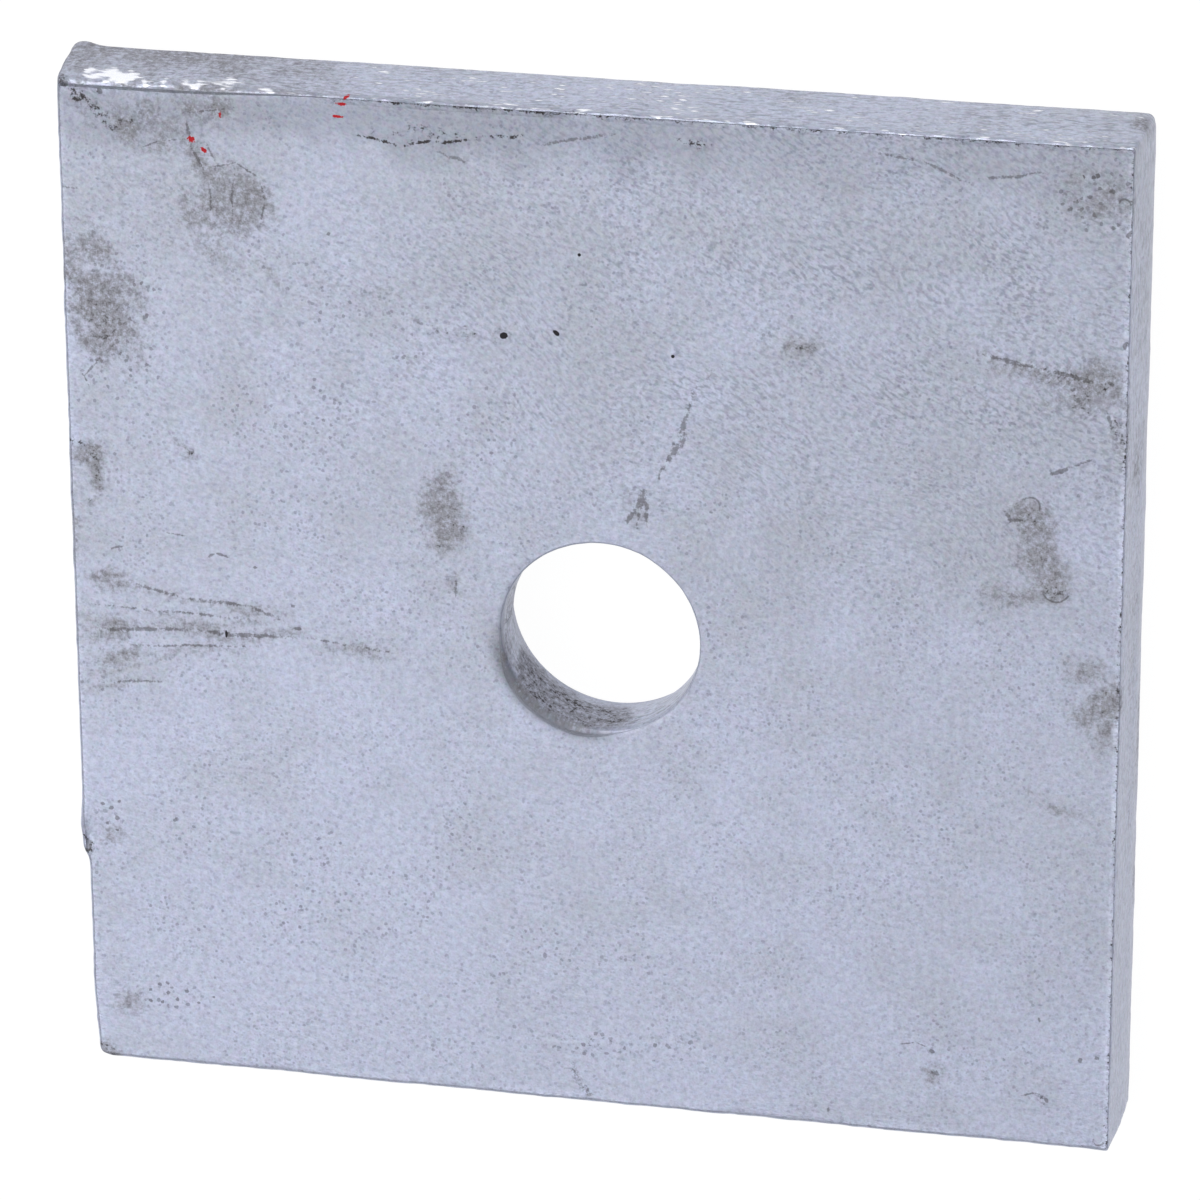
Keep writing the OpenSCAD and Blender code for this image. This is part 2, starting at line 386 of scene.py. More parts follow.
# The sharp marks are finer than the mesh, so the coat's nodes draw them. The mesh only carries where they
# are: each one's ellipse, larger by a margin in mm all round.
cracks = [
    *line([(-33.4, 0.2), (-29.5, -0.7), (-24.7, -1.0), (-22.4, -2.0)], 0.2, 0.8),
    *line([(-35.8, -1.8), (-24.4, -2.0)], 0.16, 0.65),
    *line([(-36.3, -3.8), (-29.2, -3.2), (-21.1, -3.2)], 0.24, 0.9),
    *line([(-20.8, -3.1), (-17.0, -3.3), (-14.6, -3.6)], 0.14, 0.7),
    *line([(-34.0, -4.8), (-24.0, -4.0)], 0.15, 0.7),
    *line([(-36.4, -7.8), (-31.2, -7.4)], 0.18, 0.75),
    *line([(-35.2, 17.1), (-36.5, 15.6)], 0.13, 0.85),
    *line([(-37.9, 29.6), (-36.3, 29.6)], 0.13, 0.8),
    *line([(-26.6, 31.2), (-26.9, 27.4)], 0.12, 0.7),
    *line([(20.2, 36.2), (23.0, 35.7), (26.2, 34.4)], 0.17, 0.85),
    *line([(26.8, 34.7), (31.3, 35.4)], 0.16, 0.85),
    *line([(-3.4, 35.0), (1.8, 36.2)], 0.2, 0.8),
    *line([(-10.8, 34.2), (-8.4, 33.4)], 0.2, 0.75),
    *line([(27.6, 22.1), (31.5, 21.4), (35.6, 20.6)], 0.26, 0.85),
    *line([(-27.7, 2.6), (-27.1, 2.9), (-26.2, 2.6)], 0.14, 0.95),
    *line([(-31.0, 4.2), (-29.2, 4.1)], 0.1, 0.8),
    *line([(-34.9, 2.6), (-33.9, 2.8)], 0.13, 0.85),
    *line([(-36.7, 15.9), (-36.1, 14.8)], 0.1, 0.8),
    *line([(-9.6, 2.1), (-9.7, 0.9)], 0.16, 0.85),
    *line([(29.2, 10.6), (29.7, 9.8), (30.3, 9.9)], 0.2, 1.0),
    *line([(36.2, 18.4), (36.6, 17.3)], 0.16, 1.0),
    *line([(32.4, 13.7), (33.6, 14.3)], 0.24, 0.95),
    *line([(33.6, 14.3), (35.4, 15.1)], 0.12, 0.75),
    *line([(22.6, -30.9), (23.7, -30.6), (24.6, -31.0)], 0.1, 0.85),
    *line([(31.2, -34.2), (32.3, -33.8), (33.0, -34.0)], 0.11, 0.85),
    *line([(-31.8, 33.0), (-30.3, 33.6), (-28.2, 33.8)], 0.1, 0.75),
    *line([(-28.3, 35.0), (-28.0, 33.2), (-27.1, 31.6)], 0.14, 0.9),
    *line([(-27.0, 33.6), (-26.3, 32.4)], 0.13, 0.9),
    *line([(-28.3, 35.7), (-25.8, 36.0)], 0.1, 0.75),
    *line([(-25.0, 31.8), (-25.3, 28.4)], 0.1, 0.7),
    *line([(-26.6, 31.9), (-24.9, 32.3), (-23.4, 31.3), (-23.0, 29.7), (-23.3, 28.0)], 0.12, 0.8),
]
pits = [
    (24.8, -31.3, 0.24, 0.18, -40, 1.3),
    (33.2, -34.3, 0.3, 0.2, -50, 1.4),
    (25.1, -33.0, 0.4, 0.25, -20, 1.1),
    (35.5, -31.0, 0.22, 0.28, 0, 1.1),
    (36.7, -30.7, 0.22, 0.22, 0, 1.1),
    (17.3, -36.6, 0.12, 0.26, 0, 1.1),
    (32.5, -28.0, 0.12, 0.26, 20, 1.0),
    (-36.1, -17.4, 0.24, 0.18, 0, 1.5),
    (-35.4, -17.7, 0.26, 0.2, 30, 1.6),
    (-35.0, -18.4, 0.24, 0.22, 0, 1.5),
    (-35.8, -18.9, 0.17, 0.2, 0, 1.2),
    (-35.1, -19.4, 0.2, 0.16, 0, 1.2),
    (-34.8, -17.1, 0.16, 0.16, 0, 1.2),
    (-32.2, -31.5, 0.2, 0.16, 0, 1.2),
    (-31.6, -32.1, 0.22, 0.18, 0, 1.3),
    (-30.9, -32.6, 0.18, 0.18, 0, 1.3),
    (-30.2, -31.9, 0.22, 0.16, 20, 1.2),
    (-29.4, -32.8, 0.18, 0.16, 0, 1.2),
    (-33.0, -33.0, 0.22, 0.18, 0, 1.2),
    (-28.2, -32.2, 0.18, 0.16, 0, 1.1),
    (-34.5, 36.9, 0.26, 0.24, 0, 1.4),
    (-37.1, 37.2, 0.4, 0.3, 0, 1.4),
    (-18.4, 27.6, 0.16, 0.16, 0, 1.3),
    (-21.6, -0.7, 0.22, 0.18, 0, 1.3),
    (-21.3, -2.5, 0.34, 0.18, 0, 1.2),
    (-24.2, 2.0, 0.18, 0.14, 0, 1.2),
    (34.1, 19.2, 0.3, 0.26, 0, 1.3),
    (33.7, 20.0, 0.22, 0.2, 0, 1.2),
    (36.4, 20.6, 0.34, 0.18, -30, 1.3),
    (37.1, 23.4, 0.18, 0.36, 0, 1.3),
    (37.3, 31.4, 0.22, 0.32, 0, 1.3),
    (36.0, 34.4, 0.24, 0.22, 0, 1.2),
    (35.2, 34.6, 0.24, 0.18, -30, 1.2),
    (36.3, 31.9, 0.28, 0.2, 0, 1.2),
    (34.5, 34.0, 0.22, 0.18, 0, 1.1),
    (33.2, 33.0, 0.24, 0.16, 20, 1.0),
    (-37.4, -20.8, 0.35, 0.7, 0, 1.3),
]
crust_line = [
    *line([(-16.4, 34.9), (-13.1, 34.4), (-10.8, 34.9)], 0.18, 1.1),
    *line([(-10.8, 34.8), (-8.2, 35.1)], 0.2, 1.1),
    *line([(-6.9, 35.5), (-4.6, 35.6)], 0.2, 1.0),
    *line([(6.0, 35.8), (8.6, 35.8)], 0.14, 1.0),
]
spots = [
    (-26.5, -3.2, 0.12, 0.36, 0, 0.8),
    (-6.1, 20.9, 0.34, 0.3, 0, 1.0),
    (-2.4, 21.5, 0.32, 0.2, -40, 0.9),
    (-0.7, 27.3, 0.15, 0.15, 0, 1.0),
    (5.8, 20.4, 0.18, 0.16, 0, 0.9),
]
arcs = [
    (30.9, 11.0, 0.75, 0.75, -40, 0.9),
    (36.9, 33.5, 0.45, 0.45, 0, 0.9),
    (36.9, -37.2, 0.4, 0.4, 180, 0.8),
    (32.9, 5.2, 0.9, 0.9, 180, 0.9),
]
paint_specks = [
    (-28.0, 33.8, 0.38, 0.26, -10, 1.0),
    (-27.15, 33.1, 0.36, 0.2, -35, 1.0),
    (-26.1, 35.6, 0.14, 0.4, 10, 0.6),
    (-17.4, 37.15, 0.45, 0.15, 0, 0.75),
    (-17.0, 37.7, 0.35, 0.14, 50, 0.65),
    (-17.7, 36.2, 0.55, 0.14, 0, 0.8),
]
margin = 1.3
sharp_wander = 0.3
near_sharp = 0.0 * x
for marks in (cracks, pits, crust_line, spots, arcs, paint_specks):
    wider = [(*mark[:2], mark[2] + margin, mark[3] + margin, mark[4], 1.0) for mark in marks]
    near_sharp = np.maximum(near_sharp, soft(wider, sharp_wander))

# Places on the skin in mm, so that the grain runs on over the arrises: the front face's own x and y, the
# four edges folded out flat round it, and the hole's wall unrolled. The drawn places are turned and
# stretched on the face, and follow the edges and the wall as runs.
angle = np.arctan2(y - hole_y, x - hole_x)
wall_rows = row < rows_wall - 1
edge_rows = (row > edge_start + 1) & (row < edge_end)
folded = plate_t - z
skin_x = x + folded * np.choose(side_of, [1, 0, -1, 0])
skin_y = y + folded * np.choose(side_of, [0, 1, 0, -1])
skin = np.where(wall_rows, np.stack([hole_r * angle, z]), np.stack([skin_x, skin_y]))
streak_turn = math.radians(-30.0)
bent_x = x + 1.3 * lumps(x, y, z, (8, 8, 9), 55)
bent_y = y + 1.3 * lumps(x, y, z, (8, 8, 9), 56)
drawn_long = (bent_x * math.cos(streak_turn) + bent_y * math.sin(streak_turn)) / 0.55
drawn_wide = (bent_y * math.cos(streak_turn) - bent_x * math.sin(streak_turn)) / 0.26
along_edge = np.choose(side_of, [y, x, y, x])
drawn_place = np.stack([drawn_long, drawn_wide])
drawn_place = np.where(edge_rows, np.stack([0.95 * along_edge, 3.3 * z]), drawn_place)
drawn_place = np.where(wall_rows, np.stack([0.95 * hole_r * angle, 3.3 * z]), drawn_place)


def facing(degrees):
    """How squarely a place round the hole lies in a direction: the cosine of the angle between them."""
    return np.cos(angle - math.radians(degrees))


# Dirt on the cut edges and in the hole, and painted shade on the hole's rolled-in rim at the lower left. A
# painted highlight of white blobs, a dashed line and glints along the top arris and top face, and painted
# shade as a dark line just under the top and right arrises, partly zinc crust. Each is a product of bumps
# and steps along the three axes.
radius = np.hypot(x - hole_x, y - hole_y)
on_top_edge = ease(37.0, 37.5, y)
on_right_edge = ease(37.0, 37.5, x) * (1.0 - on_top_edge)
under_arris = bell(row, edge_start + 0.6, 1.2)
mottled = 0.8 + 0.45 * lumps(x, y, z, (1.5, 1.5, 1.5), 57) + 0.35 * lumps(x, y, z, (0.8, 0.8, 0.8), 58)
near_top, near_right = bell(y, 38.0, 1.0), bell(x, 38.0, 1.0)
edge_dirt = on_edge * (
    near_top * bell(x, -31.0, 8.0) * bell(z, 0.4, 2.0)
    + 0.45 * on_top_edge * ease(-6.0, -30.0, x)
    + near_top * bell(x, 37.4, 0.8) * bell(z, 2.2, 1.2)
    + 0.8 * near_top * bell(x, 13.6, 1.1) * bell(z, 2.0, 1.3)
    + 0.4 * near_right * bell(y, 14.0, 3.0) * bell(z, 3.6, 1.4)
    + 0.3 * near_right * bell(y, 0.5, 7.0) * bell(z, 3.4, 1.2)
    + 0.5 * near_right * bell(y, -7.0, 4.0) * bell(z, 0.8, 1.0)
    + 0.5 * near_right * bell(y, -19.0, 2.0) * bell(z, 0.6, 0.9)
)
below_roll = ease(6.15, 5.5, z)
bore_dirt_and_rim_shade = 1.5 * on_wall * ease(0.7, 0.93, facing(246.0))
bore_dirt_and_rim_shade += 0.35 * on_wall * ease(0.3, 0.9, facing(200.0))
bore_dirt_and_rim_shade = bore_dirt_and_rim_shade * below_roll
# Painted shade on the hole's rolled-in rim at the lower left, with a little dirt.
lip_side = ease(0.5, 0.9, facing(230.0)) * ease(5.0, 6.0, z)
bore_dirt_and_rim_shade += 0.5 * bell(radius, 7.4, 0.45) * lip_side
bore_crust = 0.75 * on_wall * ease(0.72, 0.95, facing(246.0)) * mottled * below_roll
crumbled = 0.8 + 0.4 * lumps(x, y, z, (0.8, 9, 0.8), 75) + 0.3 * lumps(x, y, z, (0.4, 9, 0.5), 76)
# Painted highlight: white blobs on the worn round arris at the top left, where a lamp would catch it.
highlight = on_top_edge * crumbled * (
    ease(-36.6, -35.6, x) * ease(-31.2, -32.4, x) * bell(z, 5.3, 1.1)
    + 0.9 * (bell(x, -31.3, 0.45) + bell(x, -30.1, 0.4)) * bell(z, 5.9, 0.6)
    + 0.8 * bell(x, -28.0, 1.5) * bell(z, 5.7, 0.7)
    + 0.75 * bell(x, -25.3, 1.5) * bell(z, 5.4, 1.0)
    + 0.65 * bell(x, -22.8, 1.1) * bell(z, 6.1, 0.3)
)
# Painted highlight: a thin bright dashed line along the top arris.
dash_strength = 0.42 + 0.18 * lumps(x, y, z, (0.7, 9, 9), 71)
highlight_dashes = on_top_edge * bell(z, 6.18, 0.09) * dash_strength * ease(-24.0, -20.0, x)
# Painted glints on the top face.
glints = on_top_edge * on_edge * (0.27 + 0.2 * lumps(x, y, z, (3.0, 9, 1.2), 72)) * ease(-26.0, -15.0, x)
# Painted shade: a dark line just under the top arris.
top_dark = on_top_edge * under_arris * (
    0.78 + 0.3 * lumps(x, y, z, (0.9, 9, 9), 73) + 0.4 * bell(x, -8.0, 7.0) - 0.6 * ease(-17.0, -21.0, x)
)
nick_dark = on_top_edge * 0.6 * bell(x, -1.3, 1.9) * bell(z, 6.25, 0.3)
# Painted shade: a dark dotted line just under the right arris, partly zinc crust.
right_dark = on_right_edge * under_arris * (0.72 + 0.35 * lumps(x, y, z, (9, 0.9, 9), 74))
# The painted shade under the arrises, with the dark of the nick and the crust low on the hole's wall.
arris_shade_and_crust = np.maximum(np.maximum(top_dark, nick_dark), np.maximum(right_dark, bore_crust))
cut_edge = np.maximum(on_edge, on_wall * below_roll)
patchy = 0.9 + 0.5 * lumps(x, y, z, (3, 3, 3), 65)
# Painted shade and light: greyer towards the top and the right of the face, and lighter and bluer on the cut
# edges and in the hole. The lumps added after are the zinc's own clouds of tone.
cloud_and_shade = 0.36 + 0.4 * y / half_h + 0.15 * ease(-10.0, 25.0, x) - 0.6 * cut_edge
for size, share_of, seed in ((9, 0.3, 61), (3.6, 0.35, 62), (1.6, 0.3, 64)):
    cloud_and_shade = cloud_and_shade + share_of * lumps(x, y, z, (size, size, size), seed)
face_streaks = ease(-12.0, 24.0, y) * (0.45 + 0.55 * ease(-30.0, 12.0, x))
edge_streaks = cut_edge * (0.6 + 0.8 * np.maximum(on_top_edge, on_wall))

# What the mesh carries for the coat, up to three values to an attribute.
layers = {
    "skin": {"skin_x": skin[0], "skin_y": skin[1], "front": on_front},
    "drawn_out": {"long": drawn_place[0], "wide": drawn_place[1], "cut_edge": cut_edge},
    "marked": {"mark_x": x + sharp_wander * wander[0], "mark_y": y + sharp_wander * wander[1], "one": 1.0},
    "near": {"near_sharp": near_sharp},
    "zinc": {
        "cloud_and_shade": cloud_and_shade,
        "dense": 0.7 + 0.4 * lumps(x, y, z, (3.2, 3.2, 3.2), 63),
        "streaky": np.maximum(face_streaks, edge_streaks) * patchy,
    },
    "soiled": {
        # band: a greyer band along the top of the front face, and painted shade on the hole's rolled-in rim
        # at the lower left.
        "band": on_front * np.maximum(
            ease(32.0, 36.0, y + 3.0 * wander[1]) * (1.0 - 0.5 * ease(-4.0, 18.0, x)),
            2.6 * bell(radius, 7.5, 0.55) * ease(0.5, 0.95, facing(228.0)),
        ),
        "dirt_and_rim_shade": ease(0.0, 0.8, (soft(stains, 1.5) + edge_dirt + bore_dirt_and_rim_shade) * mottled),
        "pitted": soft(pitted_areas),
    },
    # worn: the crust with the painted shade under the arrises, the painted highlight with its gloss along
    # the top edge, and the scratches.
    "worn": {
        "crust_and_arris_shade": np.maximum(soft(crusts), arris_shade_and_crust),
        "painted_highlight_and_gloss": np.maximum(np.maximum(highlight, highlight_dashes), glints),
        "scratch": soft(scratches),
    },
}

# The skin is closed both ways: the last grid row joins the first, and the last direction the first.
number = np.arange(x.size).reshape(x.shape)
next_row = np.roll(number, -1, axis=0)
next_turn = np.roll(number, -1, axis=1)
next_both = np.roll(next_row, -1, axis=1)
quads = np.stack([number, next_row, next_both, next_turn], axis=-1).reshape(-1, 4)
mesh = bpy.data.meshes.new("zinc_plate")
mesh.vertices.add(x.size)
mesh.vertices.foreach_set("co", points.reshape(3, -1).T.astype(np.float32).ravel())
mesh.loops.add(quads.size)
mesh.loops.foreach_set("vertex_index", quads.ravel().astype(np.int32))
mesh.polygons.add(len(quads))
mesh.polygons.foreach_set("loop_start", np.arange(0, quads.size, 4, dtype=np.int32))
mesh.polygons.foreach_set("use_smooth", np.ones(len(quads), dtype=bool))
for name, values in layers.items():
    values = [value + 0.0 * x for value in values.values()]
    values = np.stack(values + [0.0 * x] * (3 - len(values)))
    layer = mesh.attributes.new(name, "FLOAT_VECTOR", "POINT")
    layer.data.foreach_set("vector", values.reshape(3, -1).T.astype(np.float32).ravel())
mesh.update(calc_edges=True)
plate = bpy.data.objects.new("zinc_plate", mesh)
bpy.context.scene.collection.objects.link(plate)


# The coat: hot-dip zinc, a dull blue grey skin of zinc carbonate over bare metal. It is grainy to the eye,
# pitted where ash stuck to it, and brown grey where it was handled or rubbed against other steel.
def linear(hex_value):
    """An sRGB hex colour as linear RGBA: each channel c is ((c + 0.055) / 1.055) ^ 2.4, or c / 12.92 where
    dark."""
    channels = [int(hex_value[i : i + 2], 16) / 255 for i in (1, 3, 5)]
    curve = [c / 12.92 if c <= 0.04045 else ((c + 0.055) / 1.055) ** 2.4 for c in channels]
    return (*curve, 1.0)


def add(tree, kind, sockets, out=0, **settings):
    """Add one node to the tree, set its settings, fill its sockets (by name or place) with values or links,
    and give back one of its outputs."""
    node = tree.nodes.new("ShaderNode" + kind)
    for name, value in settings.items():
        setattr(node, name, value)
    for key, value in sockets.items():
        if isinstance(value, bpy.types.NodeSocket):
            tree.links.new(value, node.inputs[key])
        else:
            node.inputs[key].default_value = value
    return node.outputs[out] if node.outputs else None


zinc = bpy.data.materials.new("hot_dip_zinc")
zinc.use_nodes = True
tree = zinc.node_tree
tree.nodes.clear()

# Every pattern below reads the mesh's own places in mm, so a noise of scale 1 / s has grains of about s mm.
# What changes slowly comes from the mesh too.
from_mesh = {}
layer_place = {}
for name, values in layers.items():
    layer_place[name] = add(tree, "Attribute", {}, out="Vector", attribute_name=name)
    parts = add(tree, "SeparateXYZ", {0: layer_place[name]}).node.outputs
    from_mesh.update(zip(values, parts))

# Grain: mottled zinc in grains of 0.5, 0.25 and 0.12 mm. The real coat has finer ones too, which are left
# out because they are smaller than the render's pixels. Above and to the right it is drawn out into short
# streaks down to the right, and along the cut edges and round the hole's wall into runs.
grain_size = 0.5
grain = add(
    tree,
    "TexNoise",
    {"Vector": layer_place["skin"], "Scale": 1 / grain_size, "Detail": 2.0, "Roughness": 0.9},
    noise_dimensions="2D",
)
drawn = add(
    tree,
    "TexNoise",
    {"Vector": layer_place["drawn_out"], "Scale": 1.0, "Detail": 1.0, "Roughness": 0.5},
    noise_dimensions="2D",
)


def sharp(marks, ring=0.0):
    """The strongest of some marks at each point: a mark's strength times 1 - d^2, where d^2 adds up the
    squares of the two offsets from its middle in half sizes. An offset is a dot product with (x, y, 1).
    With a ring's half width in mm, it is the strength in the upper half of the ring where d^2 is 1."""
    weakest = 0.0
    for middle_x, middle_y, half_x, half_y, turn, strength in marks:
        cos_turn, sin_turn = math.cos(math.radians(turn)), math.sin(math.radians(turn))
        root = math.sqrt(strength)
        fade = -strength
        axes = ((cos_turn, sin_turn, half_x / root), (-sin_turn, cos_turn, half_y / root))
        for step_x, step_y, half in axes:
            row_of = (step_x / half, step_y / half, -(step_x * middle_x + step_y * middle_y) / half)
            sockets = {0: layer_place["marked"], 1: row_of}
            offset = add(tree, "VectorMath", sockets, out="Value", operation="DOT_PRODUCT")
            fade = add(tree, "Math", {0: offset, 1: offset, 2: fade}, operation="MULTIPLY_ADD")
        if ring:
            ring_fade = 2.0 * ring * strength / half_x
            fade = add(tree, "Math", {0: fade, 1: 0.0, 2: ring_fade}, operation="COMPARE")
            upper = add(tree, "MapRange", {0: offset, 1: -0.4, 2: 0.6, 4: -strength})
            fade = add(tree, "Math", {0: fade, 1: upper}, operation="MULTIPLY")
        weakest = add(tree, "Math", {0: fade, 1: weakest}, operation="MINIMUM")
    strongest = add(tree, "Math", {0: weakest, 1: -1.0}, operation="MULTIPLY")
    return add(tree, "Math", {0: strongest, 1: from_mesh["front"]}, operation="MULTIPLY")


def broken(mark, share, low, high):
    """A mark broken up by the grain: the smoothstep from low to high of the mark plus a share of the grain,
    and nothing where there is no mark."""
    value = add(tree, "Math", {0: grain, 1: share, 2: mark}, operation="MULTIPLY_ADD")
    value = add(tree, "MapRange", {0: value, 1: low, 2: high}, interpolation_type="SMOOTHSTEP")
    present = add(tree, "MapRange", {0: mark, 1: 0.0, 2: 0.1})
    return add(tree, "Math", {0: value, 1: present}, operation="MULTIPLY")


scratch = broken(from_mesh["scratch"], 1.8, 1.15, 1.75)
crack = add(tree, "Math", {0: sharp(cracks + pits), 1: sharp(arcs, ring=0.07)}, operation="MAXIMUM")
crack = broken(crack, 1.8, 1.15, 1.75)
spot = broken(sharp(spots), 0.5, 0.45, 0.7)
paint = broken(sharp(paint_specks), 2.0, 1.2, 1.6)
# The crust, with the painted shade under the top and right arrises.
crust_and_arris_shade = broken(from_mesh["crust_and_arris_shade"], 2.6, 1.85, 2.5)
sharp_crust = broken(sharp(crust_line), 2.6, 1.85, 2.5)

# Specks and pits: crystals show as dark specks about 0.3 mm apart, most of them faint and 0.1 mm across, and
# ash that stuck in the zinc left a few as dark pits, more and larger ones in the pitted areas. Each lattice
# cell draws its own radius in mm and its own depth of colour, and the grain bends the outlines.
cell_size = 0.28
cell = add(
    tree,
    "TexVoronoi",
    {"Vector": layer_place["skin"], "Scale": 1 / cell_size},
    voronoi_dimensions="2D",
).node.outputs
draw = add(tree, "SeparateXYZ", {0: cell["Color"]}, out="Z")
draw = add(tree, "Math", {0: draw, 1: 7.0}, operation="POWER")
widest = add(tree, "MapRange", {0: from_mesh["pitted"], 3: 0.06, 4: 0.18})
radius_of = add(tree, "Math", {0: draw, 1: widest, 2: -0.04}, operation="MULTIPLY_ADD")
radius_of = add(tree, "Math", {0: grain, 1: 0.22, 2: radius_of}, operation="MULTIPLY_ADD")
speck = add(tree, "Math", {0: cell["Distance"], 1: -cell_size, 2: radius_of}, operation="MULTIPLY_ADD")
speck = add(tree, "MapRange", {0: speck, 1: -0.03, 2: 0.04})
deep = add(tree, "MapRange", {0: from_mesh["pitted"], 3: 0.3, 4: 1.0})
deep = add(tree, "Math", {0: draw, 1: deep, 2: 0.13}, operation="MULTIPLY_ADD")
speck = add(tree, "Math", {0: speck, 1: deep}, operation="MULTIPLY")

# Dirt, and the painted shade on the hole's rim, lie as a thin brown grey wash with dark and pale flecks and
# fine dark hairs, which follow a contour of the streaks.
dirt_and_rim_shade = from_mesh["dirt_and_rim_shade"]
wash = broken(dirt_and_rim_shade, 2.2, 1.1, 2.5)
dark_fleck = add(tree, "MapRange", {0: grain, 1: 0.52, 2: 0.66, 4: 0.7})
dark_fleck = add(tree, "Math", {0: dark_fleck, 1: dirt_and_rim_shade}, operation="MULTIPLY", use_clamp=True)
pale_fleck = add(tree, "MapRange", {0: grain, 1: 0.44, 2: 0.34, 4: 0.45})
pale_fleck = add(tree, "Math", {0: pale_fleck, 1: dirt_and_rim_shade}, operation="MULTIPLY", use_clamp=True)
hair = add(tree, "Math", {0: drawn, 1: 0.5, 2: 0.012}, operation="COMPARE")
hair = add(tree, "Math", {0: hair, 1: dirt_and_rim_shade}, operation="MULTIPLY", use_clamp=True)
hair = add(tree, "Math", {0: hair, 1: 0.35}, operation="MULTIPLY")
# The painted highlight: white where the runs and the mask add up, on the top arris and the top face.
painted_highlight_and_gloss = add(tree, "Math", {0: drawn, 1: from_mesh["painted_highlight_and_gloss"]}, operation="ADD")
painted_highlight_and_gloss = add(tree, "MapRange", {0: painted_highlight_and_gloss, 1: 0.92, 2: 1.2}, interpolation_type="SMOOTHSTEP")

# Colour: clouds of bluer and greyer zinc, with painted shade greying the face towards the top and the right
# and painted light on the cut edges, then the greyed band with painted shade on the hole's rim, the grain
# and the specks, then the dirt and the painted highlight, and last the dark marks with the painted shade
# under the arrises. The sharp marks lie over all of it.
blue_zinc = linear("#C0C6DC")
grey_zinc = linear("#B4B9C8")
dark_grain = linear("#7F8494")
band_grey = linear("#858995")
dirt_grey = linear("#858386")
dirt_dark = linear("#4F4D50")
crust_and_shade_dark = linear("#373437")
burnt = linear("#1B191E")
red_paint = linear("#A8101E")
painted_highlight_white = linear("#F6F8FF")


def blend(share, under, over, strength=1.0):
    """One colour over another by a share, times a strength."""
    share = add(tree, "Math", {0: share, 1: strength}, operation="MULTIPLY", use_clamp=True)
    return add(tree, "Mix", {0: share, 6: under, 7: over}, out=2, data_type="RGBA")


shade = add(tree, "MapRange", {0: grain, 1: 0.3, 2: 0.7})
streak = add(tree, "MapRange", {0: drawn, 1: 0.46, 2: 0.68})
streak = add(tree, "Math", {0: streak, 1: from_mesh["streaky"]}, operation="MULTIPLY")
speck = add(tree, "Math", {0: speck, 1: from_mesh["dense"]}, operation="MULTIPLY")
colour = blend(from_mesh["cloud_and_shade"], blue_zinc, grey_zinc)
colour = blend(from_mesh["band"], colour, band_grey, 0.5)
colour = blend(shade, colour, dark_grain, 0.34)
colour = blend(streak, colour, dark_grain, 0.5)
colour = add(tree, "Mix", {0: 0.03, 6: colour, 7: cell["Color"]}, out=2, data_type="RGBA")
colour = blend(speck, colour, dirt_dark)
colour = blend(dirt_and_rim_shade, colour, dirt_grey, 0.5)
colour = blend(wash, colour, dirt_grey, 0.3)
colour = blend(dark_fleck, colour, dirt_dark, 0.55)
colour = blend(pale_fleck, colour, blue_zinc)
colour = blend(hair, colour, dirt_dark)
# Painted highlight in near white.
colour = blend(painted_highlight_and_gloss, colour, painted_highlight_white)
colour = blend(scratch, colour, dirt_dark, 0.6)
# Painted shade under the arrises, and the crust, in dark.
colour = blend(crust_and_arris_shade, colour, crust_and_shade_dark)
marked_colour = blend(crack, colour, dirt_dark, 0.6)
marked_colour = blend(sharp_crust, marked_colour, crust_and_shade_dark)
marked_colour = blend(spot, marked_colour, burnt)
marked_colour = blend(paint, marked_colour, red_paint)

# Gloss: the carbonate skin is dull and half metallic, the cut edges are glossier, and dirt is neither.
rough = add(tree, "MapRange", {0: from_mesh["cut_edge"], 3: 0.52, 4: 0.36})
rough = add(tree, "Mix", {0: wash, 2: rough, 3: 0.7}, data_type="FLOAT")
rough = add(tree, "Mix", {0: painted_highlight_and_gloss, 2: rough, 3: 0.25}, data_type="FLOAT")
metal = add(tree, "MapRange", {0: wash, 3: 0.55, 4: 0.15})

# Height in mm: the streaks stand up by 0.02 on the face and the runs by 0.06 on the edges, and the crust,
# with the painted shade under the arrises, by 0.08. Two surfaces with the same gloss and height are mixed,
# so that the many nodes of the sharp marks are worked out only near them.
run_height = add(tree, "MapRange", {0: from_mesh["cut_edge"], 3: 0.02, 4: 0.06})
height = add(tree, "Math", {0: drawn, 1: run_height}, operation="MULTIPLY")
height = add(tree, "Math", {0: from_mesh["crust_and_arris_shade"], 1: 0.08, 2: height}, operation="MULTIPLY_ADD")
bumped = add(tree, "Bump", {"Height": height, "Distance": mm})
gloss = {"Metallic": metal, "Roughness": rough, "Normal": bumped}
plain = add(tree, "BsdfPrincipled", {"Base Color": colour, **gloss})
marked = add(tree, "BsdfPrincipled", {"Base Color": marked_colour, **gloss})
near = add(tree, "Math", {0: from_mesh["near_sharp"], 1: 0.0}, operation="GREATER_THAN")
surface = add(tree, "MixShader", {0: near, 1: plain, 2: marked})
add(tree, "OutputMaterial", {"Surface": surface})
mesh.materials.append(zinc)
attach(plate, "root")
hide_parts("square_plate")

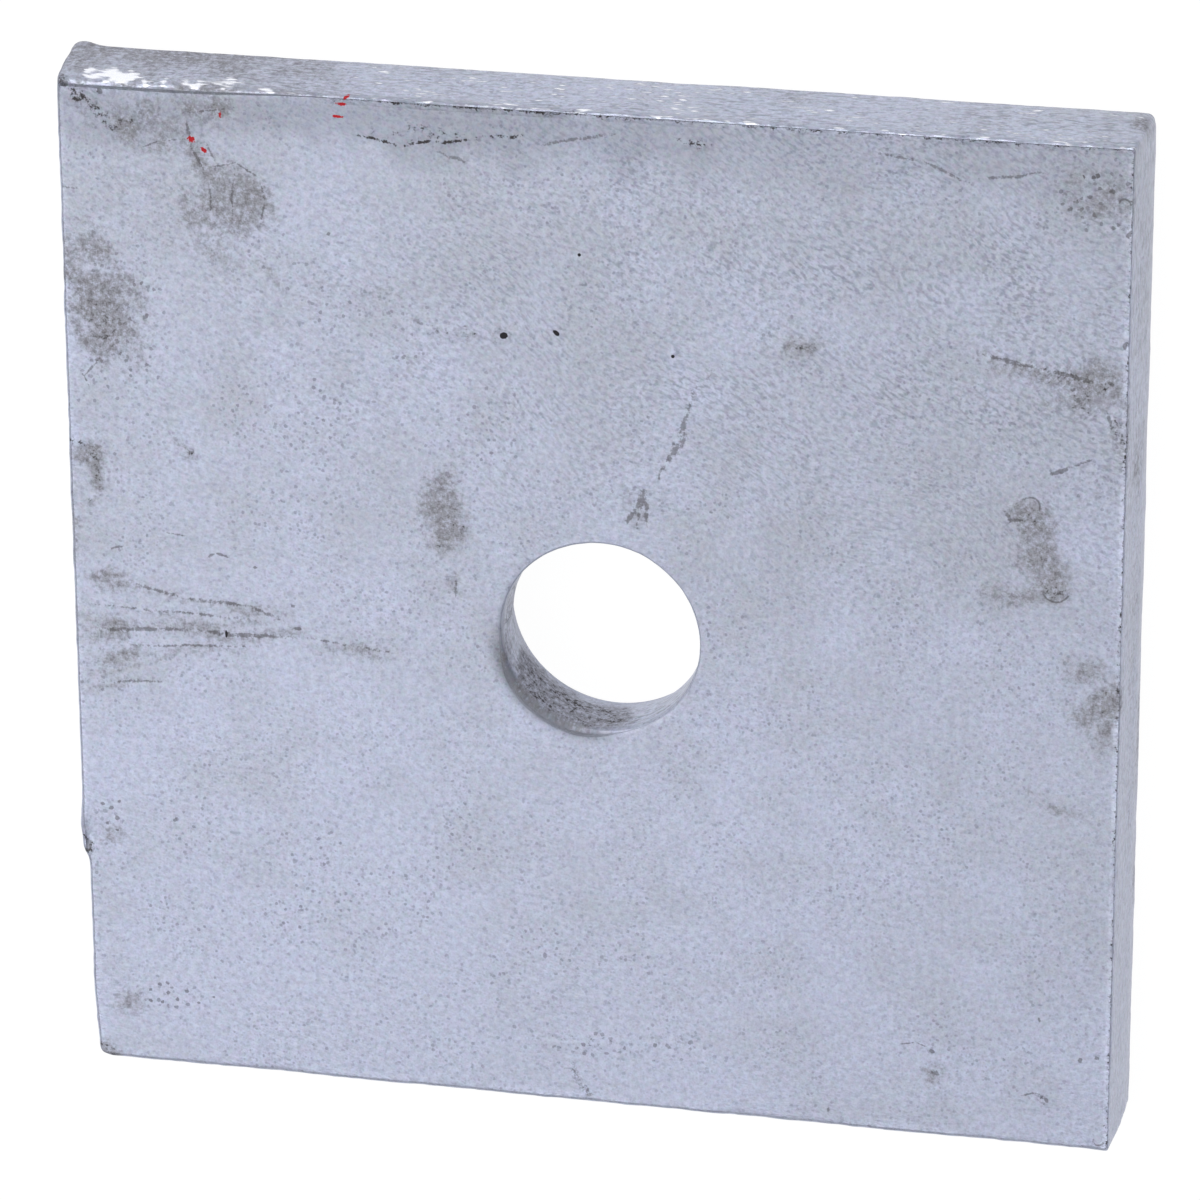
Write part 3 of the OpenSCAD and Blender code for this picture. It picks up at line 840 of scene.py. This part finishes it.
# The floor: a plain pale sheet that the washer lies on. It shows white to the camera and in reflections,
# and keeps a share of its real shading there, so that the washer's shadow stays.
floor_half = 2.0
floor_drop = 0.00002
floor_mesh = bpy.data.meshes.new("floor")
floor_mesh.from_pydata(
    [
        (-floor_half, -floor_half, -floor_drop),
        (floor_half, -floor_half, -floor_drop),
        (floor_half, floor_half, -floor_drop),
        (-floor_half, floor_half, -floor_drop),
    ],
    [],
    [(0, 1, 2, 3)],
)
floor = bpy.data.objects.new("floor", floor_mesh)
bpy.context.scene.collection.objects.link(floor)
paper = bpy.data.materials.new("pale_paper")
paper.use_nodes = True
tree = paper.node_tree
tree.nodes.clear()
path = add(tree, "LightPath", {}).node.outputs
seen = add(tree, "Math", {0: path["Is Camera Ray"], 1: path["Is Glossy Ray"]}, operation="MAXIMUM")
seen = add(tree, "Math", {0: seen, 1: path["Is Transmission Ray"]}, operation="MAXIMUM")
white_most = 0.92
white_share = add(tree, "Math", {0: seen, 1: white_most}, operation="MULTIPLY")
matt = add(tree, "BsdfDiffuse", {"Color": linear("#E8E8EA")})
white = add(tree, "Emission", {"Color": (1.0, 1.0, 1.0, 1.0), "Strength": 1.05})
surface = add(tree, "MixShader", {0: white_share, 1: matt, 2: white})
add(tree, "OutputMaterial", {"Surface": surface})
floor_mesh.materials.append(paper)

# Light: a plain pale room, a wide soft lamp above and to the left, and a low strip beyond the top edge
# that catches the front arris.
world = bpy.data.worlds.new("pale_room")
bpy.context.scene.world = world
world.use_nodes = True
tree = world.node_tree
tree.nodes.clear()
path = add(tree, "LightPath", {}).node.outputs
room = add(tree, "Background", {"Color": linear("#F4F4F6"), "Strength": 0.55})
white = add(tree, "Background", {"Color": (1.0, 1.0, 1.0, 1.0), "Strength": 1.0})
surface = add(tree, "MixShader", {0: path["Is Camera Ray"], 1: room, 2: white})
add(tree, "OutputWorld", {"Surface": surface})


def lamp(name, location, size, power):
    """An oblong soft lamp that faces the washer's middle. Its axes are the line to the washer, the level
    line across it, and their cross product."""
    data = bpy.data.lights.new(name, "AREA")
    data.shape = "RECTANGLE"
    data.size, data.size_y = size
    data.energy = power
    lamp_object = bpy.data.objects.new(name, data)
    bpy.context.scene.collection.objects.link(lamp_object)
    back = np.array(location) / np.linalg.norm(location)
    right = np.cross((0.0, 1.0, 0.0), back)
    right = right / np.linalg.norm(right)
    up = np.cross(back, right)
    lamp_object.matrix_world = Matrix([(*row, 0.0) for row in zip(right, up, back)] + [(0.0, 0.0, 0.0, 1.0)])
    lamp_object.location = location


lamp("soft_box", (-0.4, -0.19, 0.92), (0.7, 0.7), 3.38)
lamp("low_strip", (-0.25, 0.86, 0.53), (0.9, 0.3), 5.1)

# The camera: a long lens at the photograph's own angle, about 26 degrees off the front face's normal.
camera_data = bpy.data.cameras.new("camera")
camera_data.sensor_width = 36.0
camera_data.lens = 202.08
camera = bpy.data.objects.new("camera", camera_data)
bpy.context.scene.collection.objects.link(camera)
camera.matrix_world = Matrix(
    (
        (0.97812, -0.07762, 0.19301, 0.09192),
        (-0.00318, 0.92209, 0.38697, 0.18456),
        (-0.20801, -0.37912, 0.90167, 0.43253),
        (0.0, 0.0, 0.0, 1.0),
    )
)
bpy.context.scene.camera = camera
bpy.context.scene.view_settings.view_transform = "Standard"
